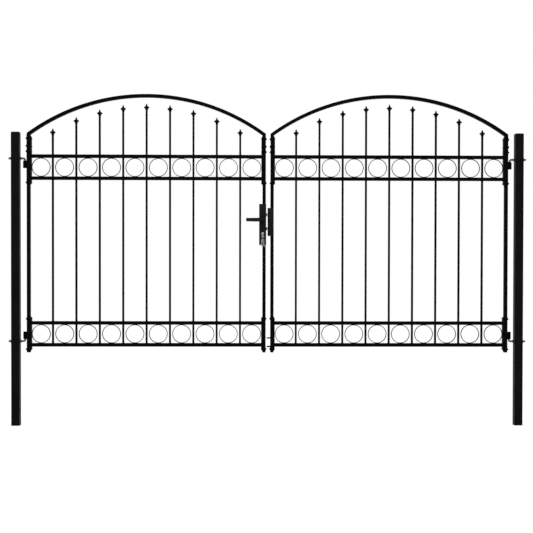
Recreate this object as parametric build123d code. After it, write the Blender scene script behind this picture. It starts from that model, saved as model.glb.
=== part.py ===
from build123d import *
import math
import os

# Double-leaf driveway gate with an arched top, hung between two square posts.
# Millimetres. X runs across the opening, Y to the back, Z up.
# The origin is the middle of the left post's foot.

# Posts and opening
OPENING = 3000.0
POST_SIDE = 50.0
POST_WALL = 2.0
POST_CORNER = 3.0
POST_HEIGHT = 1775.0
POST_CAP = 8.0
POST_CAP_BEVEL = 5.0
POST_CAP_PLUG = 15.0

# Gaps of the closed leaves
HINGE_GAP = 43.0
LEAF_GAP = 28.0

# Heights of a leaf, all above the posts' feet
FOOT_Z = 443.0
CORNER_Z = 1768.0
CROWN_Z = 2005.0
RAIL_HEIGHTS = (1629.0, 1496.0, 621.0, 488.0)

# Sections of a leaf
TUBE_WIDE = 20.0
TUBE_DEEP = 30.0
TUBE_WALL = 1.5
PICKET_SIDE = 12.0
PICKET_COUNT = 9
RING_WALL = 4.0
RING_DEEP = 8.0
RING_FACETS = 24

# Spearheads
TIP_Z = 1947.6
TIP_ARC_RADIUS = 1132.0
HEAD_HIGH = 40.0
HEAD_HALF = 17.0
HEAD_TIP = 3.0
HEAD_POINT = 3.0
HEAD_NECK_HALF = 8.5
HEAD_NECK_Z = 4.0
ARM_Z = 17.0
ARM_HALF = 5.5
ARM_POINT = 4.0

# Cast sleeves and collars on the stiles
SLEEVE_INWARD = 7.0
SLEEVE_SKIN = 2.5
SLEEVE_TAPER = 10.0
UPPER_SLEEVE = (1457.0, 1754.0)
LOWER_SLEEVE = (450.0, 660.0)
COLLAR_HEIGHTS = (1735.0, 1690.0, 1657.0, 1469.0, 647.0, 463.0)
COLLAR_WIDE = 34.0
COLLAR_DEEP = 48.0
COLLAR_HIGH = 12.0
COLLAR_BEVEL = 3.5
COLLAR_SHIFT = 1.5

# Hinges: hooks through the posts, barrels on the leaves
PIN_RADIUS = 6.0
PIN_CLEARANCE = 0.05
BARREL_RADIUS = 12.0
BARREL_LENGTH = 44.0
BARREL_FOOT = (1557.0, 524.0)
HOOK_RISE = 14.0
HOOK_BEND = 12.0
HOOK_STUB = 18.0
PIN_REACH = 40.0
HOOK_HOLE_RADIUS = 6.5
NUT_ACROSS = 19.0
NUT_THICK = 7.0

# Lock on the left leaf
PLATE_WIDE = 42.0
PLATE_THICK = 8.0
PLATE_FOOT_Z = 1095.0
PLATE_TOP_Z = 1343.0
PLATE_BEVEL = 8.0
PLATE_BEVEL_DEPTH = 4.5
BOX_INSET = 1.0
BOX_END = 5.0
FOREND_THICK = 2.4
FOREND_DEEP = 20.0
SPINDLE_INSET = 19.0
SPINDLE_Z = 1248.0
SPINDLE_SIDE = 8.0
FOLLOWER_RADIUS = 9.0
NECK_RADIUS = 8.0
LEVER_REACH = 100.0
LEVER_STAND = 40.0
LEVER_HIGH = 20.0
LEVER_THICK = 12.0
LEVER_ROUND = 3.0
LEVER_TAPER = 0.8
CYLINDER_DROP = 85.0
CYLINDER_RADIUS = 8.5
CYLINDER_WEB = 10.0
CYLINDER_HIGH = 33.0
CYLINDER_PROUD = 3.0
CASE_DEEP = 15.0
CASE_WIDE = 37.0
CASE_Z = (1115.0, 1325.0)
FOREND_LUG = 12.0
LATCH_Z = 1278.0
LATCH_HIGH = 20.0
DEAD_BOLT_Z = 1193.0
DEAD_BOLT_HIGH = 18.0
BOLT_DEEP = 10.0
BOLT_CLEARANCE = 0.3
BOLT_NOSE = 9.5
BOLT_TAIL = 25.0
LATCH_FLAT = 3.0
LATCH_SLOPE = 7.0

# Keep and drop-rod guides on the right leaf
KEEP_Z = (1149.0, 1319.0)
KEEP_STAND = 17.0
KEEP_WALL = 3.0
KEEP_BEVEL = 7.0
POCKET_DEPTH = 15.0
POCKET_MARGIN = 2.0
GUIDE_HEIGHTS = (530.0, 478.0)
GUIDE_REACH = 22.0
GUIDE_THICK = 7.0
GUIDE_RADIUS = 10.0
GUIDE_HOLE_RADIUS = 6.5

# Keys
KEY_THICK = 2.2
KEY_BOW_RADIUS = 11.0
KEY_HOLE_RADIUS = 3.0
KEY_BLADE_HIGH = 8.0
KEY_BLADE_LENGTH = 28.0
KEY_HOLE_RIM = 2.5
KEY_TIP_ROOM = 0.5
KEYWAY_CLEARANCE = 0.1
RING_RADIUS = 16.0
RING_WIRE = 1.6
RING_HANG = 1.5
RING_TURN = 50.0
KEY_TURN = 30.0
KEY_SPLAY = 10.0

# Values worked out from the above
CENTRE_X = (OPENING + POST_SIDE) / 2
LEAF_WIDTH = (OPENING - LEAF_GAP) / 2 - HINGE_GAP
LEAF_X = POST_SIDE / 2 + HINGE_GAP
AXIS_X = LEAF_X - BARREL_RADIUS
RISE = CROWN_Z - CORNER_Z
ARCH_RADIUS = (LEAF_WIDTH ** 2 / 4 + RISE ** 2) / (2 * RISE)
ARCH_CENTRE_Z = CROWN_Z - ARCH_RADIUS
INNER_WIDTH = LEAF_WIDTH - 2 * TUBE_WIDE
BAY = (INNER_WIDTH - PICKET_COUNT * PICKET_SIDE) / (PICKET_COUNT + 1)
PITCH = BAY + PICKET_SIDE
SPINDLE_X = LEAF_WIDTH - SPINDLE_INSET
CYLINDER_Z = SPINDLE_Z - CYLINDER_DROP
PLATE_X = (SPINDLE_X - PLATE_WIDE / 2, SPINDLE_X + PLATE_WIDE / 2)
FRONT = TUBE_DEEP / 2
OVERRUN = 2.0


def arch_height(radius, x):
    """Height of an arc about the arch's centre, at x from the hinge stile's outer face."""
    across = x - LEAF_WIDTH / 2
    return ARCH_CENTRE_Z + math.sqrt(radius ** 2 - across ** 2)


def on_left(shape):
    """Puts a piece drawn from the hinge stile's outer face onto the left leaf."""
    return Pos(LEAF_X, 0, 0) * shape


def on_right(shape):
    """The same piece mirrored onto the right leaf."""
    return on_left(shape).mirror(Plane.YZ.offset(CENTRE_X))


def block(x_range, y_range, z_range):
    """A plain block between two limits on each axis."""
    sides = [high - low for low, high in (x_range, y_range, z_range)]
    middle = [(high + low) / 2 for low, high in (x_range, y_range, z_range)]
    return Pos(*middle) * Box(*sides)


def front_profile(points, half_depth):
    """A closed outline in X and Z, thickened evenly to front and back."""
    face = Plane.XZ * make_face(Polyline(*points, close=True))
    return extrude(face, half_depth, both=True)


def upright_tube(wide, deep, wall, low, high):
    """A rectangular tube standing between two heights, centred on the Z axis."""
    section = Rectangle(wide, deep) - Rectangle(wide - 2 * wall, deep - 2 * wall)
    return extrude(Plane.XY.offset(low) * section, high - low)


def save(name, *solids):
    """Writes one node, of one solid or of several that don't touch."""
    shape = solids[0] if len(solids) == 1 else Compound(children=list(solids))
    export_step(shape, f"parts/{name}.step")


# Posts

def post():
    """Square tube with rounded corners, a welded foot plate and hook holes."""
    outer = RectangleRounded(POST_SIDE, POST_SIDE, POST_CORNER)
    hollow = POST_SIDE - 2 * POST_WALL
    inner = Rectangle(hollow, hollow)
    tube = extrude(outer - inner, POST_HEIGHT - POST_CAP)
    foot = extrude(inner, POST_WALL)
    body = tube + foot
    for height in hook_heights():
        across = Rot(0, 90, 0) * Cylinder(HOOK_HOLE_RADIUS, POST_SIDE + OVERRUN)
        body -= Pos(0, 0, height) * across
    return body


def post_cap():
    """Cap with a bevelled crown and a plug inside the tube."""
    seat = Plane.XY.offset(POST_HEIGHT - POST_CAP)
    shoulder = POST_CAP - POST_CAP_BEVEL
    full = RectangleRounded(POST_SIDE, POST_SIDE, POST_CORNER)
    crown_side = POST_SIDE - 2 * POST_CAP_BEVEL
    crown = RectangleRounded(crown_side, crown_side, POST_CORNER)
    rim = extrude(seat * full, shoulder)
    rim += loft([seat.offset(shoulder) * full, seat.offset(POST_CAP) * crown])
    plug_side = POST_SIDE - 2 * POST_WALL - OVERRUN
    return rim + extrude(seat * Rectangle(plug_side, plug_side), -POST_CAP_PLUG)


# Hinges

def hook_heights():
    """Heights of the hook shanks: above the upper barrel, below the lower one."""
    return (BARREL_FOOT[0] + BARREL_LENGTH + HOOK_RISE, BARREL_FOOT[1] - HOOK_RISE)


def hook(shank_z, turn):
    """Bent bar through the post; turn is -1 for a pin that points down and 1 for up."""
    section = Circle(PIN_RADIUS)
    start_x = -POST_SIDE / 2 - HOOK_STUB
    bend_x = AXIS_X - HOOK_BEND
    bend_z = shank_z + turn * HOOK_BEND
    shank = extrude(Plane(origin=(start_x, 0, shank_z), z_dir=(1, 0, 0)) * section, bend_x - start_x)
    bend_axis = Axis((bend_x, 0, bend_z), (0, -turn, 0))
    bend = revolve(Plane(origin=(bend_x, 0, shank_z), z_dir=(1, 0, 0)) * section, bend_axis, 90)
    pin_seat = Plane(origin=(AXIS_X, 0, bend_z), z_dir=(0, 0, turn))
    pin = extrude(pin_seat * section, HOOK_RISE + PIN_REACH - HOOK_BEND)
    return shank + bend + pin


def hooks():
    """The upper and the lower hook of the left post."""
    upper_z, lower_z = hook_heights()
    return [hook(upper_z, -1), hook(lower_z, 1)]


def hook_nuts():
    """A nut on each face of the post for each hook."""
    nuts = []
    section = RegularPolygon(NUT_ACROSS / 2, 6, major_radius=False) - Circle(PIN_RADIUS)
    for height in hook_heights():
        for face_x in (-POST_SIDE / 2 - NUT_THICK, POST_SIDE / 2):
            seat = Plane(origin=(face_x, 0, height), x_dir=(0, 0, 1), z_dir=(1, 0, 0))
            nuts.append(extrude(seat * section, NUT_THICK))
    return nuts


def barrel(foot_z):
    """Bored barrel with a flat-sided root that seats on the stile."""
    tube = extrude(Plane.XY.offset(foot_z) * Pos(-BARREL_RADIUS, 0) * Circle(BARREL_RADIUS), BARREL_LENGTH)
    root = block((-BARREL_RADIUS, 0), (-PIN_RADIUS, PIN_RADIUS), (foot_z, foot_z + BARREL_LENGTH))
    bore = Pos(-BARREL_RADIUS, 0, foot_z + BARREL_LENGTH / 2)
    bore = bore * Cylinder(PIN_RADIUS + PIN_CLEARANCE, BARREL_LENGTH + OVERRUN)
    return tube + root - bore


# Frame of a leaf

def stile():
    """Upright tube closed at the foot and cut at the top to the arch's mitre."""
    tube = Pos(TUBE_WIDE / 2, 0, 0) * upright_tube(TUBE_WIDE, TUBE_DEEP, TUBE_WALL, FOOT_Z, CROWN_Z)
    tube += block((0, TUBE_WIDE), (-FRONT, FRONT), (FOOT_Z, FOOT_Z + TUBE_WALL))
    inner_z = arch_height(ARCH_RADIUS - TUBE_WIDE, TUBE_WIDE)
    slope = (CORNER_Z - inner_z) / TUBE_WIDE
    left_z = CORNER_Z + slope * OVERRUN
    right_z = inner_z - slope * OVERRUN
    over = CROWN_Z + OVERRUN
    waste = ((-OVERRUN, left_z), (TUBE_WIDE + OVERRUN, right_z), (TUBE_WIDE + OVERRUN, over), (-OVERRUN, over))
    return tube - front_profile(waste, TUBE_DEEP)


def far_stile(shape):
    """Mirrors a hinge-stile piece onto the meeting side of the same leaf."""
    return shape.mirror(Plane.YZ.offset(LEAF_WIDTH / 2))


def arc_between(radius, low_x, high_x):
    """An arc over the leaf from one x to another, as three points."""
    middle = LEAF_WIDTH / 2
    points = [(x, arch_height(radius, x)) for x in (low_x, middle, high_x)]
    return ThreePointArc(*points)


def arch_band(outer_radius, inner_radius, outer_x, inner_x, half_depth):
    """The stretch between two arcs, from the left end points to their mirror images."""
    outer = arc_between(outer_radius, outer_x, LEAF_WIDTH - outer_x)
    inner = arc_between(inner_radius, inner_x, LEAF_WIDTH - inner_x)
    ends = [Line(outer @ 0, inner @ 0), Line(outer @ 1, inner @ 1)]
    face = Plane.XZ * make_face(Curve() + [outer, inner] + ends)
    return extrude(face, half_depth, both=True)


def arch():
    """Bent tube that closes the leaf's top, mitred to both stiles."""
    outside = arch_band(ARCH_RADIUS, ARCH_RADIUS - TUBE_WIDE, 0, TUBE_WIDE, TUBE_DEEP / 2)
    hollow = arch_band(
        ARCH_RADIUS - TUBE_WALL,
        ARCH_RADIUS - TUBE_WIDE + TUBE_WALL,
        -TUBE_WIDE,
        -TUBE_WIDE,
        TUBE_DEEP / 2 - TUBE_WALL,
    )
    return outside - hollow


def picket_places():
    """Middle of each picket, from the hinge stile's outer face."""
    first = TUBE_WIDE + BAY + PICKET_SIDE / 2
    return [first + PITCH * number for number in range(PICKET_COUNT)]


def bay_places():
    """Middle of each bay between pickets, from the hinge stile's outer face."""
    first = TUBE_WIDE + BAY / 2
    return [first + PITCH * number for number in range(PICKET_COUNT + 1)]


def rail(height, through):
    """Tube between the stiles, punched for the pickets in its top wall, or in both."""
    section = Rectangle(TUBE_DEEP, TUBE_WIDE)
    section -= Rectangle(TUBE_DEEP - 2 * TUBE_WALL, TUBE_WIDE - 2 * TUBE_WALL)
    start = Plane(origin=(TUBE_WIDE, 0, height), x_dir=(0, 1, 0), z_dir=(1, 0, 0))
    tube = extrude(start * section, INNER_WIDTH)
    low = height - TUBE_WIDE if through else height
    half = PICKET_SIDE / 2
    for x in picket_places():
        tube -= block((x - half, x + half), (-half, half), (low, height + TUBE_WIDE))
    return tube


def tip_height(x):
    """Height of the spearhead's tip over a picket at x."""
    across = x - LEAF_WIDTH / 2
    return TIP_Z - TIP_ARC_RADIUS + math.sqrt(TIP_ARC_RADIUS ** 2 - across ** 2)


def pickets():
    """Square bars through the rails, ending on the bottom rail's lower wall."""
    bars = []
    low = RAIL_HEIGHTS[-1] - TUBE_WIDE / 2 + TUBE_WALL
    for x in picket_places():
        bar = Rectangle(PICKET_SIDE, PICKET_SIDE)
        high = tip_height(x) - HEAD_HIGH
        bars.append(extrude(Plane.XY.offset(low) * Pos(x, 0) * bar, high - low))
    return bars


def spearhead():
    """Small cast head with a swollen neck and two pointed arms, standing on z = 0."""
    half = PICKET_SIDE / 2
    right = [
        (half, 0),
        (HEAD_NECK_HALF, HEAD_NECK_Z),
        (HEAD_NECK_HALF, ARM_Z - ARM_HALF),
        (HEAD_HALF - ARM_POINT, ARM_Z - ARM_HALF),
        (HEAD_HALF, ARM_Z),
        (HEAD_HALF - ARM_POINT, ARM_Z + ARM_HALF),
        (HEAD_NECK_HALF, ARM_Z + ARM_HALF),
        (half, ARM_Z + ARM_HALF + ARM_POINT),
        (HEAD_TIP, HEAD_HIGH - HEAD_POINT),
        (HEAD_TIP / 2, HEAD_HIGH),
    ]
    left = [(-x, z) for x, z in reversed(right)]
    front = front_profile(right + left, half)
    side = [(half, 0), (half, ARM_Z), (HEAD_TIP, HEAD_HIGH)]
    side += [(-y, z) for y, z in reversed(side)]
    across = extrude(Plane.YZ * make_face(Polyline(*side, close=True)), HEAD_HALF, both=True)
    return front & across


def spearheads():
    """One head on top of each picket."""
    head = spearhead()
    return [Pos(x, 0, tip_height(x) - HEAD_HIGH) * head for x in picket_places()]


def ring_row(upper_rail, lower_rail):
    """A row of flat rings, rolled in short facets so that one seats flat on each rail."""
    middle = (upper_rail + lower_rail) / 2
    radius = (upper_rail - lower_rail - TUBE_WIDE) / 2
    half_facet = 180 / RING_FACETS
    outside = RegularPolygon(radius, RING_FACETS, major_radius=False, rotation=half_facet)
    inside = RegularPolygon(radius - RING_WALL, RING_FACETS, major_radius=False, rotation=half_facet)
    ring = extrude(Plane.XZ * (outside - inside), RING_DEEP / 2, both=True)
    return [Pos(x, 0, middle) * ring for x in bay_places()]


# Cast trim of the stiles

def collar(height):
    """Square collar whose four sides swell to an edge at mid height."""
    shift = TUBE_WIDE / 2 + COLLAR_SHIFT
    narrow = Rectangle(COLLAR_WIDE - 2 * COLLAR_BEVEL, COLLAR_DEEP - 2 * COLLAR_BEVEL)
    full = Rectangle(COLLAR_WIDE, COLLAR_DEEP)
    levels = [height - COLLAR_HIGH / 2, height, height + COLLAR_HIGH / 2]
    lower = loft([Pos(shift, 0, levels[0]) * narrow, Pos(shift, 0, levels[1]) * full])
    upper = loft([Pos(shift, 0, levels[1]) * full, Pos(shift, 0, levels[2]) * narrow])
    return lower + upper


def sleeve(low, high):
    """Cast cover round three sides of a stile, with the collars that fall on it."""
    inner_x = TUBE_WIDE + SLEEVE_INWARD
    outline = (
        (0, low),
        (TUBE_WIDE, low),
        (inner_x, low + SLEEVE_TAPER),
        (inner_x, high - SLEEVE_TAPER),
        (TUBE_WIDE, high),
        (0, high),
    )
    body = front_profile(outline, TUBE_DEEP / 2 + SLEEVE_SKIN)
    for height in COLLAR_HEIGHTS:
        if low < height < high:
            body += collar(height)
    body -= block((0, TUBE_WIDE), (-FRONT, FRONT), (low - OVERRUN, high + OVERRUN))
    half = TUBE_WIDE / 2
    for height in RAIL_HEIGHTS:
        if low < height < high:
            body -= block((0, inner_x + OVERRUN), (-FRONT, FRONT), (height - half, height + half))
    return body


def stile_trim():
    """Upper and lower casting of one stile."""
    return [sleeve(*UPPER_SLEEVE), sleeve(*LOWER_SLEEVE)]


# Lock

def euro_profile(grow=0.0):
    """Keyhole-shaped section of the cylinder, drawn about its plug."""
    radius = CYLINDER_RADIUS + grow
    half = CYLINDER_WEB / 2 + grow
    foot = CYLINDER_RADIUS - CYLINDER_HIGH - grow
    return Circle(radius) + Pos(0, foot / 2) * Rectangle(2 * half, -foot)


def through_lock(section, x, z, half_depth):
    """A section drawn in X and Z, run evenly to front and back at a place on the leaf."""
    return Pos(x, 0, z) * extrude(Plane.XZ * section, half_depth, both=True)


def lock_openings(grow):
    """Room for the spindle and the cylinder from front to back."""
    spindle = through_lock(Circle(NECK_RADIUS + grow), SPINDLE_X, SPINDLE_Z, TUBE_DEEP)
    cylinder = through_lock(euro_profile(grow), SPINDLE_X, CYLINDER_Z, TUBE_DEEP)
    return spindle + cylinder


def lock_stile():
    """The left leaf's meeting stile, mortised for the lock."""
    half = CASE_DEEP / 2
    mortise = block((SPINDLE_X - TUBE_WIDE, LEAF_WIDTH + OVERRUN), (-half, half), CASE_Z)
    return far_stile(stile()) - mortise - lock_openings(PIN_CLEARANCE)


def lock_box():
    """Open-sided sheet box welded to the stile, round the back of the lock case."""
    inner_x = LEAF_WIDTH - TUBE_WIDE
    low_x = PLATE_X[0] + BOX_INSET
    z_range = (PLATE_FOOT_Z + BOX_END, PLATE_TOP_Z - BOX_END)
    wall = TUBE_WALL
    shell = block((low_x, inner_x), (-FRONT, FRONT), z_range)
    room = (low_x + wall, inner_x + wall), (-FRONT + wall, FRONT - wall), (z_range[0] + wall, z_range[1] - wall)
    return shell - block(*room) - lock_openings(PIN_CLEARANCE)


def bolt_channel(height, high):
    """Room for a bolt inside the case, through its forend."""
    half = BOLT_DEEP / 2 + BOLT_CLEARANCE
    rise = high / 2 + BOLT_CLEARANCE
    x_range = (LEAF_WIDTH - CASE_WIDE + OVERRUN, LEAF_WIDTH + FOREND_THICK + OVERRUN)
    return block(x_range, (-half, half), (height - rise, height + rise))


def lock_case():
    """Case inside the stile and box, with its forend on the meeting face."""
    half = CASE_DEEP / 2
    case = block((LEAF_WIDTH - CASE_WIDE, LEAF_WIDTH), (-half, half), CASE_Z)
    forend_z = (CASE_Z[0] - FOREND_LUG, CASE_Z[1] + FOREND_LUG)
    case += block((LEAF_WIDTH, LEAF_WIDTH + FOREND_THICK), (-FOREND_DEEP / 2, FOREND_DEEP / 2), forend_z)
    case -= bolt_channel(LATCH_Z, LATCH_HIGH)
    case -= bolt_channel(DEAD_BOLT_Z, DEAD_BOLT_HIGH)
    case -= through_lock(Circle(FOLLOWER_RADIUS + PIN_CLEARANCE), SPINDLE_X, SPINDLE_Z, half + OVERRUN)
    case -= through_lock(euro_profile(), SPINDLE_X, CYLINDER_Z, half + OVERRUN)
    return case


def backplate():
    """Long plate on the front face, bevelled along its sides and ends."""
    height = PLATE_TOP_Z - PLATE_FOOT_Z
    middle = ((PLATE_X[0] + PLATE_X[1]) / 2, -FRONT, (PLATE_TOP_Z + PLATE_FOOT_Z) / 2)
    seat = Plane(origin=middle, x_dir=(1, 0, 0), z_dir=(0, -1, 0))
    shoulder = PLATE_THICK - PLATE_BEVEL_DEPTH
    base = extrude(seat * Rectangle(PLATE_WIDE, height), shoulder)
    raised = seat.offset(shoulder)
    crown = seat.offset(PLATE_THICK) * Rectangle(PLATE_WIDE - 2 * PLATE_BEVEL, height - 2 * PLATE_BEVEL_DEPTH)
    body = base + loft([raised * Rectangle(PLATE_WIDE, height), crown])
    neck = through_lock(Circle(NECK_RADIUS + PIN_CLEARANCE), SPINDLE_X, SPINDLE_Z, TUBE_DEEP)
    return body - neck - through_lock(euro_profile(), SPINDLE_X, CYLINDER_Z, TUBE_DEEP)


def to_back(shape):
    """The same piece on the gate's other face."""
    return shape.mirror(Plane.XZ)


def latch_bolt():
    """Spring bolt with its nose bevelled on the back."""
    half = BOLT_DEEP / 2
    low_x = LEAF_WIDTH - BOLT_TAIL
    tip_x = LEAF_WIDTH + BOLT_NOSE
    plan = Polyline(
        (low_x, -half),
        (tip_x, -half),
        (tip_x, -half + LATCH_FLAT),
        (tip_x - LATCH_SLOPE, half),
        (low_x, half),
        close=True,
    )
    return extrude(Plane.XY.offset(LATCH_Z - LATCH_HIGH / 2) * make_face(plan), LATCH_HIGH)


def dead_bolt():
    """Square-ended bolt, drawn just short of the keep."""
    half = BOLT_DEEP / 2
    x_range = (LEAF_WIDTH - BOLT_TAIL, LEAF_WIDTH + BOLT_NOSE)
    rise = DEAD_BOLT_HIGH / 2
    return block(x_range, (-half, half), (DEAD_BOLT_Z - rise, DEAD_BOLT_Z + rise))


def spindle():
    """Square bar from lever to lever, with the round follower in the case."""
    reach = FRONT + PLATE_THICK + LEVER_STAND / 2
    bar = through_lock(Rectangle(SPINDLE_SIDE, SPINDLE_SIDE), SPINDLE_X, SPINDLE_Z, reach)
    follower = through_lock(Circle(FOLLOWER_RADIUS), SPINDLE_X, SPINDLE_Z, CASE_DEEP / 2 - BOLT_CLEARANCE)
    return bar + follower


def lever():
    """Round neck out of the plate and a flat bar that points to the hinge side."""
    plate_y = -FRONT - PLATE_THICK
    neck_start = -FRONT - 1.0
    bar_y = plate_y - LEVER_STAND
    neck_seat = Plane(origin=(SPINDLE_X, neck_start, SPINDLE_Z), z_dir=(0, -1, 0))
    neck = extrude(neck_seat * Circle(NECK_RADIUS), neck_start - bar_y + LEVER_ROUND)
    root_at = (SPINDLE_X + NECK_RADIUS + LEVER_ROUND, bar_y - LEVER_THICK / 2, SPINDLE_Z)
    root = Plane(origin=root_at, x_dir=(0, 1, 0), z_dir=(-1, 0, 0))
    length = root_at[0] - SPINDLE_X + LEVER_REACH
    bar = extrude(root * Rectangle(LEVER_THICK, LEVER_HIGH), length, taper=LEVER_TAPER)
    long_edges = bar.edges().filter_by(lambda edge: edge.length > LEVER_REACH)
    bar = chamfer(long_edges, LEVER_ROUND)
    bar = chamfer(bar.faces().sort_by(Axis.X)[0].edges(), LEVER_ROUND / 2)
    socket_reach = FRONT + PLATE_THICK + LEVER_STAND / 2
    socket = through_lock(Rectangle(SPINDLE_SIDE, SPINDLE_SIDE), SPINDLE_X, SPINDLE_Z, socket_reach)
    return neck + bar - socket


def lock_cylinder():
    """Profile cylinder from face to face, with a keyway in its front."""
    reach = FRONT + PLATE_THICK + CYLINDER_PROUD
    body = through_lock(euro_profile(), SPINDLE_X, CYLINDER_Z, reach)
    half = KEY_THICK / 2 + KEYWAY_CLEARANCE
    rise = KEY_BLADE_HIGH / 2 + KEYWAY_CLEARANCE
    x_range = (SPINDLE_X - half, SPINDLE_X + half)
    return body - block(x_range, (-reach - OVERRUN, -reach + KEY_BLADE_LENGTH), (CYLINDER_Z - rise, CYLINDER_Z + rise))


def key_outline(hole_at):
    """Flat key drawn along +Y from the blade's tip at 0, with an eight-sided bow."""
    shoulder = KEY_BLADE_LENGTH
    blade = Pos(0, (shoulder + OVERRUN) / 2) * Rectangle(KEY_BLADE_HIGH, shoulder + OVERRUN)
    bow = Pos(0, shoulder + KEY_BOW_RADIUS) * Rot(0, 0, 22.5) * RegularPolygon(KEY_BOW_RADIUS, 8, major_radius=False)
    return blade + bow - Pos(0, hole_at) * Circle(KEY_HOLE_RADIUS)


def key_hole_at():
    """Distance from a key's tip to the hole in its bow."""
    return KEY_BLADE_LENGTH + 2 * KEY_BOW_RADIUS - KEY_HOLE_RADIUS - KEY_HOLE_RIM


def key_in_lock():
    """Key pushed home, its flat upright."""
    face_y = -FRONT - PLATE_THICK - CYLINDER_PROUD
    tip = (SPINDLE_X, face_y + KEY_BLADE_LENGTH - KEY_TIP_ROOM, CYLINDER_Z)
    seat = Plane(origin=tip, x_dir=(0, 0, 1), z_dir=(1, 0, 0))
    return extrude(seat * key_outline(key_hole_at()), KEY_THICK / 2, both=True)


def ring_place():
    """Middle of the split ring that hangs from the key's bow."""
    face_y = -FRONT - PLATE_THICK - CYLINDER_PROUD
    hole_y = face_y + KEY_BLADE_LENGTH - KEY_TIP_ROOM - key_hole_at()
    return (SPINDLE_X, hole_y, CYLINDER_Z - RING_HANG - RING_RADIUS)


def key_ring():
    """Split ring through the bow's hole, turned part of the way to edge-on."""
    section = RegularPolygon(RING_RADIUS + RING_WIRE / 2, RING_FACETS, major_radius=False)
    section -= RegularPolygon(RING_RADIUS - RING_WIRE / 2, RING_FACETS, major_radius=False)
    ring = extrude(Plane.XZ * section, RING_WIRE / 2, both=True)
    return Pos(*ring_place()) * Rot(0, 0, RING_TURN) * ring


def hanging_keys():
    """Two spare keys hanging splayed from the bottom of the ring."""
    seat = Plane(origin=(0, 0, 0), x_dir=(0, 1, 0), z_dir=(1, 0, 0))
    outline = Pos(0, -key_hole_at()) * key_outline(key_hole_at())
    flat = Rot(0, 0, KEY_TURN) * extrude(seat * outline, KEY_THICK / 2, both=True)
    keys = []
    for side in (-1, 1):
        splay = KEY_SPLAY * side
        along = RING_RADIUS * math.sin(math.radians(splay))
        drop = RING_RADIUS * math.cos(math.radians(splay)) + RING_HANG
        wire_at = Rot(0, 0, RING_TURN) * Pos(along, 0, -drop)
        keys.append(Pos(*ring_place()) * Pos(wire_at.position) * Rot(0, -splay, 0) * flat)
    return keys


# Right leaf's own fittings, drawn from its hinge side like the left leaf's

def keep():
    """Saddle round the stile's meeting edge, with a pocket for each bolt."""
    face_x = LEAF_WIDTH + KEEP_STAND
    back_x = LEAF_WIDTH - TUBE_WIDE
    deep = FRONT + KEEP_WALL
    plan = Polyline(
        (back_x, -deep),
        (face_x - KEEP_BEVEL, -deep),
        (face_x, -deep + KEEP_BEVEL),
        (face_x, deep - KEEP_BEVEL),
        (face_x - KEEP_BEVEL, deep),
        (back_x, deep),
        close=True,
    )
    body = extrude(Plane.XY.offset(KEEP_Z[0]) * make_face(plan), KEEP_Z[1] - KEEP_Z[0])
    body -= block((back_x - OVERRUN, LEAF_WIDTH), (-FRONT, FRONT), (KEEP_Z[0] - OVERRUN, KEEP_Z[1] + OVERRUN))
    half = BOLT_DEEP / 2 + POCKET_MARGIN
    for height, high in ((LATCH_Z, LATCH_HIGH), (DEAD_BOLT_Z, DEAD_BOLT_HIGH)):
        rise = high / 2 + POCKET_MARGIN
        x_range = (face_x - POCKET_DEPTH, face_x + OVERRUN)
        body -= block(x_range, (-half, half), (height - rise, height + rise))
    return body


def rod_guide(height):
    """Round-ended lug with an upright hole."""
    middle_x = LEAF_WIDTH + GUIDE_REACH - GUIDE_RADIUS
    outline = Pos(middle_x, 0) * Circle(GUIDE_RADIUS)
    outline += Pos((LEAF_WIDTH + middle_x) / 2, 0) * Rectangle(middle_x - LEAF_WIDTH, 2 * GUIDE_RADIUS)
    outline -= Pos(middle_x, 0) * Circle(GUIDE_HOLE_RADIUS)
    return extrude(Plane.XY.offset(height - GUIDE_THICK / 2) * outline, GUIDE_THICK)


def save_posts():
    """Posts, caps, hooks and nuts, left and right."""
    mirror_plane = Plane.YZ.offset(CENTRE_X)
    save("left_post", post())
    save("right_post", post().mirror(mirror_plane))
    save("left_post_cap", post_cap())
    save("right_post_cap", post_cap().mirror(mirror_plane))
    save("left_hinge_hooks", *hooks())
    save("right_hinge_hooks", *[bar.mirror(mirror_plane) for bar in hooks()])
    save("left_hook_nuts", *hook_nuts())
    save("right_hook_nuts", *[nut.mirror(mirror_plane) for nut in hook_nuts()])


def save_leaf(side, place):
    """Everything that the two leaves share, put on one side."""
    upper_top, upper_bottom, lower_top, lower_bottom = RAIL_HEIGHTS
    save(f"{side}_hinge_stile", place(stile()))
    save(f"{side}_arch", place(arch()))
    save(f"{side}_upper_rails", place(rail(upper_top, True)), place(rail(upper_bottom, True)))
    save(f"{side}_lower_rails", place(rail(lower_top, True)), place(rail(lower_bottom, False)))
    save(f"{side}_pickets", *[place(bar) for bar in pickets()])
    save(f"{side}_spearheads", *[place(head) for head in spearheads()])
    save(f"{side}_upper_rings", *[place(ring) for ring in ring_row(upper_top, upper_bottom)])
    save(f"{side}_lower_rings", *[place(ring) for ring in ring_row(lower_top, lower_bottom)])
    save(f"{side}_hinge_stile_trim", *[place(part) for part in stile_trim()])
    save(f"{side}_meeting_stile_trim", *[place(far_stile(part)) for part in stile_trim()])
    save(f"{side}_hinge_barrels", *[place(barrel(foot_z)) for foot_z in BARREL_FOOT])


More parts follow.
